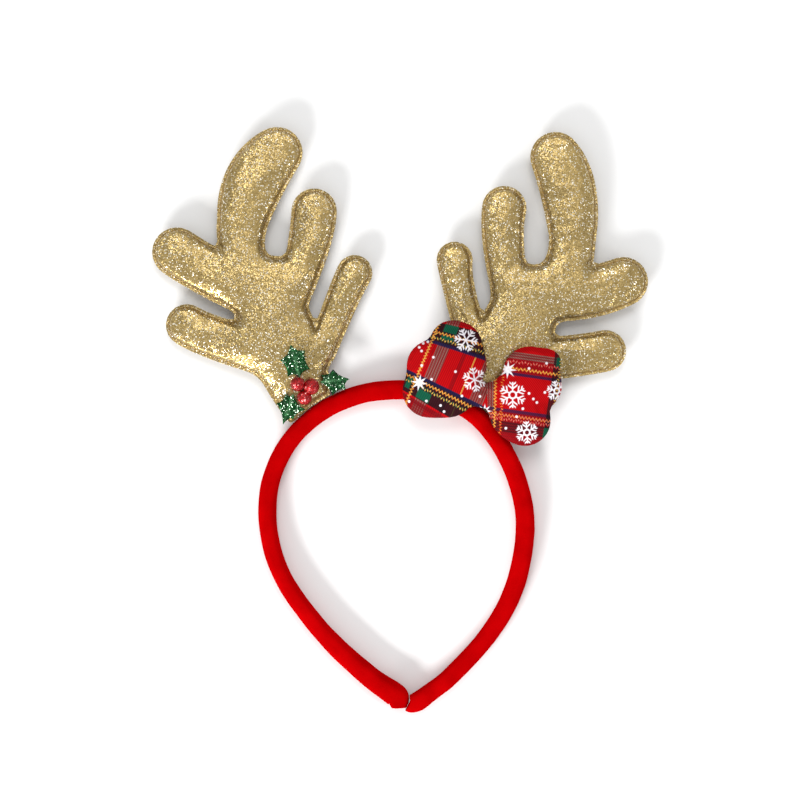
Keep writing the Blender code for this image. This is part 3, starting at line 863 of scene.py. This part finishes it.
DOTS = (
    (15.8, 29.6), (10.3, 25.7), (26.2, 22.8), (37.9, 11.1), (43.7, 18.8), (61.0, 12.5),
    (63.1, 9.9), (64.8, 8.2), (68.6, 13.0), (58.1, 5.3), (69.4, 26.8), (61.0, 24.3),
    (29.3, 11.3), (50.2, -4.0), (55.2, 1.5), (12.5, 8.9), (4.3, 8.7), (14.9, 19.2),
    (19.2, 6.8), (20.9, 3.9), (9.1, 34.4), (11.0, 36.3), (13.2, 37.0), (10.2, 32.6),
)
DOT_RADIUS = 0.62

# %% [markdown]
# ## Tartan cloth: the finish
#
# Each row of a table adds a mask and mixes its colour over what is there. The thread pitch
# comes in twice: as ribs in the mixed bands, and as a fine twill on the colour and the bump.

# %% Tartan finish
RIB_PITCH = 1.25
RIB_CONTRAST = 0.62
ZIGZAG_SHARE = 0.85
TWILL_PITCH = 1.15
FLAKE_OVERLAP = 3
TO_FLAT_MM = (1000, 1000, 0)


def tartan_material(name, on_left, bands, blocks, zigzags):
    """The finish of one half of the bow."""
    made = plain_material(name, RED[:3], 0.85)
    tree = made.node_tree
    shader = tree.nodes["Principled BSDF"]
    weave = add_node(tree, "SeparateXYZ", {0: add_node(tree, "UVMap", uv_map="weave").outputs[0]})
    ways = {"across": weave.outputs[0], "up": weave.outputs[1]}
    ribs = {way: calc(tree, "GREATER_THAN", calc(
        tree, "FRACT", calc(tree, "DIVIDE", value, RIB_PITCH)), 0.5) for way, value in ways.items()}

    def band_mask(way, middle, half):
        return use_group(
            tree, line_group, {"Coordinate": ways[way], "Middle": middle, "Half Width": half})[0]

    colour = blend_colour(tree, 0.0, RED, RED)
    for band in bands:
        thinner = calc(tree, "MULTIPLY", ribs[band.way], RIB_CONTRAST * band.share * band.ribs)
        share = calc(tree, "MULTIPLY", band_mask(band.way, band.middle, band.half),
                     calc(tree, "SUBTRACT", band.share, thinner))
        colour = blend_colour(tree, share, colour, band.colour)
    for block in blocks:
        share = calc(tree, "MULTIPLY", band_mask("across", block.across, block.half_across),
                     band_mask("up", block.up, block.half_up))
        colour = blend_colour(tree, share, colour, block.colour)
    for line in zigzags:
        other = "up" if line.way == "across" else "across"
        mask = use_group(tree, zigzag_group, {
            "Along": ways[other], "Across": ways[line.way], "Middle": line.middle})[0]
        thread_colour = blend_colour(tree, ribs[other], line.colour, line.other)
        colour = blend_colour(tree, calc(tree, "MULTIPLY", mask, ZIGZAG_SHARE), colour, thread_colour)

    slant = calc(tree, "ADD", ways["across"], ways["up"])
    twill = calc(tree, "FRACT", calc(tree, "DIVIDE", slant, TWILL_PITCH))
    ridge = calc(tree, "ABSOLUTE", calc(tree, "SUBTRACT", twill, 0.5))
    colour = shade_colour(tree, colour, remap(tree, ridge, 0.0, 0.5, 0.52, 1.2))

    place_on = add_node(tree, "TexCoord").outputs["Object"]
    flat = add_node(tree, "VectorMath", {0: place_on, 1: TO_FLAT_MM}, operation="MULTIPLY").outputs[0]
    printed = None
    prints = [("flake", flake) for flake in SNOWFLAKES
              if (flake.x < BOW_SPLIT_X + FLAKE_OVERLAP) == on_left or flake.kind == "rays"]
    prints += [("dot", dot) for dot in DOTS if (dot[0] < BOW_SPLIT_X) == on_left]
    for kind, item in prints:
        if kind == "dot":
            mask = use_group(
                tree, dot_group, {"Place": flat, "Middle": (*item, 0), "Radius": DOT_RADIUS})[0]
        else:
            mask = use_group(tree, flake_group, {
                "Place": flat, "Middle": (item.x, item.y, 0), "Radius": item.radius,
                "Arms": float(item.arms), "Turn": math.radians(item.turn),
                "Ring": float(item.kind == "ring"), "Rays": float(item.kind == "rays")})[0]
        printed = mask if printed is None else calc(tree, "MAXIMUM", printed, mask)
    worn = add_node(tree, "TexNoise", {"Vector": place_on, "Scale": 900.0}).outputs[0]
    cover = calc(tree, "MULTIPLY", printed, remap(tree, worn, 0.3, 0.6, 0.78, 1.0))
    colour = blend_colour(tree, cover, colour, WHITE)
    tree.links.new(colour, shader.inputs["Base Color"])
    height = calc(tree, "ADD", ridge, calc(tree, "MULTIPLY", printed, 0.5))
    bump = add_node(tree, "Bump", {"Strength": 0.5, "Distance": 0.12 * MM, "Height": height}).outputs[0]
    tree.links.new(bump, shader.inputs["Normal"])
    shader.inputs["Specular IOR Level"].default_value = 0.05
    return made


tartan_left = tartan_material("tartan_left", True, LEFT_BANDS, LEFT_BLOCKS, LEFT_ZIGZAGS)
tartan_right = tartan_material("tartan_right", False, RIGHT_BANDS, RIGHT_BLOCKS, RIGHT_ZIGZAGS)
print("tartan finishes:", len(tartan_left.node_tree.nodes), len(tartan_right.node_tree.nodes), "nodes")

# %% [markdown]
# ## The bow
#
# The bow is a small pad, pinched in the middle and stuffed at both ends, glued on the foot of
# the right antler. Like the antlers it is a merged copy that is held along its edge and puffed.
# It is cut once at the pinch first, so that the two patterns meet in a clean line. Folds run
# out from the pinch, and short creases run in from the notches of the outline. They are pressed
# in after the puffing, as a thumb would.

# %% Bow
BOW_PUFF = Puff(pressure=4.0, spare=0.02, reach=1.2 * MM, lowest=0.0)
BOW_FREE_DEPTH = 0.7 * MM
BACK_REACH = 0.2 * MM
PRESS_LIMIT = 2.0 * MM
UPWARD = 0.1
PINCH_Y = 13.0
PINCH_LEAN = 0.05


class Crease(NamedTuple):
    """A pressed line: start and end in mm, depth and half width in mm."""
    start: tuple
    end: tuple
    depth: float
    half: float


CREASES = (
    Crease((1.0, 20.4), (10.5, 22.2), 1.2, 1.1), Crease((14.0, 38.8), (19.0, 34.0), 1.1, 1.1),
    Crease((76.0, 8.0), (69.5, 9.6), 0.9, 1.1), Crease((41.0, 14.0), (31.0, 14.4), 0.8, 0.9),
    Crease((41.0, 16.8), (33.0, 26.5), 0.8, 1.0), Crease((40.0, 11.0), (31.0, 7.5), 0.7, 0.9),
    Crease((42.0, 16.5), (50.5, 22.5), 0.9, 1.0), Crease((42.5, 13.0), (52.0, 13.0), 0.7, 0.9),
    Crease((43.0, 9.5), (50.5, 2.0), 0.9, 1.0), Crease((41.4, 19.5), (41.2, 4.5), 1.0, 0.7),
)


def press(points, creases, above):
    """Press the creases into the points for which above is true."""
    for crease in creases:
        start, end = np.array(crease.start) * MM, np.array(crease.end) * MM
        span = end - start
        share = np.clip((points[:, :2] - start) @ span / (span @ span), 0, 1)
        away = np.linalg.norm(points[:, :2] - start - share[:, None] * span, axis=1)
        fade = (1 - share ** 2) * np.exp(-(away / (crease.half * MM)) ** 2)
        points[:, 2] -= np.where(above, crease.depth * MM * fade, 0)


def lobe_place(lobe, x, y):
    """A plan place in mm as a place in the lobe's weave."""
    turn = math.radians(lobe.turn)
    across = (x - lobe.x) * math.cos(turn) + (y - lobe.y) * math.sin(turn)
    up = (y - lobe.y) * math.cos(turn) - (x - lobe.x) * math.sin(turn)
    return across / (1 + lobe.lean * up if across < 0 else 1), up / (1 + lobe.fan * across)


work = merged_copy("bow")
bow_border = border_line(work)
pinch = Vector((BOW_SPLIT_X * MM, PINCH_Y * MM, 0))
bmesh.ops.bisect_plane(work, geom=list(work.verts) + list(work.edges) + list(work.faces),
                       plane_co=pinch, plane_no=(1, PINCH_LEAN, 0), dist=0.01 * MM)
bmesh.ops.subdivide_edges(work, edges=work.edges, cuts=2, use_grid_fill=True)
bow_depth = depths(np.array([tuple(vert.co) for vert in work.verts]), bow_border)
hold(work, np.clip(1 - bow_depth / BOW_FREE_DEPTH, 0, 1))
bow = add_piece("bow_cloth", work, tartan_left, tartan_right)
bow.vertex_groups.new(name="sewn")
bow_start = positions(bow)
normals = np.zeros(len(bow_start) * 3)
bow.data.vertices.foreach_get("normal", normals)
on_top = normals.reshape(-1, 3)[:, 2] > UPWARD
puff(bow, BOW_PUFF)
bow_ended = positions(bow)
press(bow_ended, CREASES, on_top)
seam_level = np.where(on_top, bow_start[:, 2] - PRESS_LIMIT, bow_start[:, 2] - BACK_REACH)
bow_ended[:, 2] = np.maximum(bow_ended[:, 2], seam_level)
place(bow, bow_ended)

weave_map = bow.data.uv_layers.new(name="weave")
for face in bow.data.polygons:
    beyond = (face.center.x - pinch.x) + PINCH_LEAN * (face.center.y - pinch.y)
    lobe = LEFT_LOBE if beyond < 0 else RIGHT_LOBE
    face.material_index = 0 if lobe is LEFT_LOBE else 1
    for loop in face.loop_indices:
        spot = bow.data.vertices[bow.data.loops[loop].vertex_index].co / MM
        weave_map.data[loop].uv = lobe_place(lobe, spot.x, spot.y)
smooth = bow.modifiers.new("finer", "SUBSURF")
smooth.levels = smooth.render_levels = 1
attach(bow, "root")
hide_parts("bow")
print("bow:", len(bow.data.vertices), "points,", len(CREASES), "creases")

# %% [markdown]
# ## The holly leaves
#
# The three leaves are cut from stiff green glitter foil. A leaf gets a raised midrib and side
# veins, pressed into the foil, and a slight crinkle. How near a point is to the midrib is kept
# as an attribute, so that the finish can make the rib paler.

# %% Holly leaves
class Leaf(NamedTuple):
    """A holly leaf's midrib: its base in mm, heading in degrees and length in mm."""
    x: float
    y: float
    heading: float
    length: float


LEAVES = (
    Leaf(-47.8, 19.7, 104.6, 16.6),
    Leaf(-38.2, 18.0, 6.0, 14.2),
    Leaf(-50.8, 12.4, -109.0, 15.6),
)
RIB_HEIGHT = 0.30 * MM
VEIN_HEIGHT = 0.16 * MM
VEIN_PITCH = 3.4
VEIN_LEAN = 0.8
CRINKLE = 0.22 * MM
CRINKLE_WAVES = 0.55
RIB_HALF = 0.45
RIB_COLOUR = (0.22, 0.55, 0.26, 1)

green = glitter_material(
    "green_foil", (0.0004, 0.008, 0.0015, 1), (0.005, 0.105, 0.02, 1), (0.75, 1.0, 0.75, 1),
    flash_share=0.055, tilt=0.75, flake_size=0.44 * MM, roughness=0.30, metallic=0.75)
tree = green.node_tree
shader = tree.nodes["Principled BSDF"]
foil_colour = shader.inputs["Base Color"].links[0].from_socket
rib = add_node(tree, "Attribute", attribute_name="rib").outputs["Fac"]
tree.links.new(
    blend_colour(tree, calc(tree, "MULTIPLY", rib, 0.45), foil_colour, RIB_COLOUR),
    shader.inputs["Base Color"])

for index, leaf in enumerate(LEAVES, 1):
    work = merged_copy(f"holly_leaf_{index}")
    bmesh.ops.subdivide_edges(work, edges=work.edges, cuts=3, use_grid_fill=True)
    heading = math.radians(leaf.heading)
    ribs = []
    for vert in work.verts:
        x, y = vert.co.x / MM - leaf.x, vert.co.y / MM - leaf.y
        along = x * math.cos(heading) + y * math.sin(heading)
        across = abs(y * math.cos(heading) - x * math.sin(heading))
        near = math.exp(-(across / RIB_HALF) ** 2) * min(max(1.1 - along / leaf.length, 0), 1)
        veins = max(math.cos(2 * math.pi * (along - VEIN_LEAN * across) / VEIN_PITCH), 0) ** 4
        crinkle = noise.noise(Vector((x, y, index)) * CRINKLE_WAVES)
        vert.co.z += RIB_HEIGHT * near + VEIN_HEIGHT * veins * min(across, 1) + CRINKLE * (crinkle + 0.3)
        ribs.append(near)
    made = add_piece(f"holly_leaf_{index}_foil", work, green)
    made.data.attributes.new("rib", "FLOAT", "POINT").data.foreach_set("value", ribs)
    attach(made, "root")
    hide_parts(f"holly_leaf_{index}")
    print(made.name, len(made.data.vertices), "points")

# %% [markdown]
# ## The holly berries
#
# The berries are light balls rolled in red glitter, with a clear coat. They are not quite
# round, so a noise moves the points of each ball a little. The glitter makes a ball wider than
# its solid by a fixed share.

# %% Holly berries
BERRY_UNEVENNESS = 0.14 * MM
BERRY_WAVES = 700
GLITTER_COAT = 1.18

berry_red = glitter_material(
    "berry_red", (0.16, 0.001, 0.002, 1), (0.60, 0.004, 0.008, 1), (1.0, 0.35, 0.33, 1), flash_share=0.035,
    tilt=0.6, flake_size=0.5 * MM, roughness=0.28, metallic=0.6)
berry_red.node_tree.nodes["Principled BSDF"].inputs["Coat Weight"].default_value = 0.25
berry_red.node_tree.nodes["Principled BSDF"].inputs["Coat Roughness"].default_value = 0.15
for index in (1, 2, 3):
    low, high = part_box(f"berry_{index}")
    work = bmesh.new()
    bmesh.ops.create_icosphere(work, subdivisions=4, radius=GLITTER_COAT * (high.x - low.x) / 2)
    for vert in work.verts:
        wave = noise.noise(vert.co * BERRY_WAVES + Vector((index, 0, 0)))
        vert.co += vert.co.normalized() * BERRY_UNEVENNESS * wave
    bmesh.ops.translate(work, verts=work.verts, vec=(low + high) / 2)
    berry = add_piece(f"berry_{index}_glitter", work, berry_red)
    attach(berry, "root")
    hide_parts(f"berry_{index}")
print("three berries made")

# %% [markdown]
# ## The size
#
# The box round the shown pieces of the dressed headband is printed, in mm. The dressed
# headband has to stay as large as its solids.

# %% Finish
low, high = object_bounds()
print("size in mm:", [round(side / MM, 1) for side in high - low])
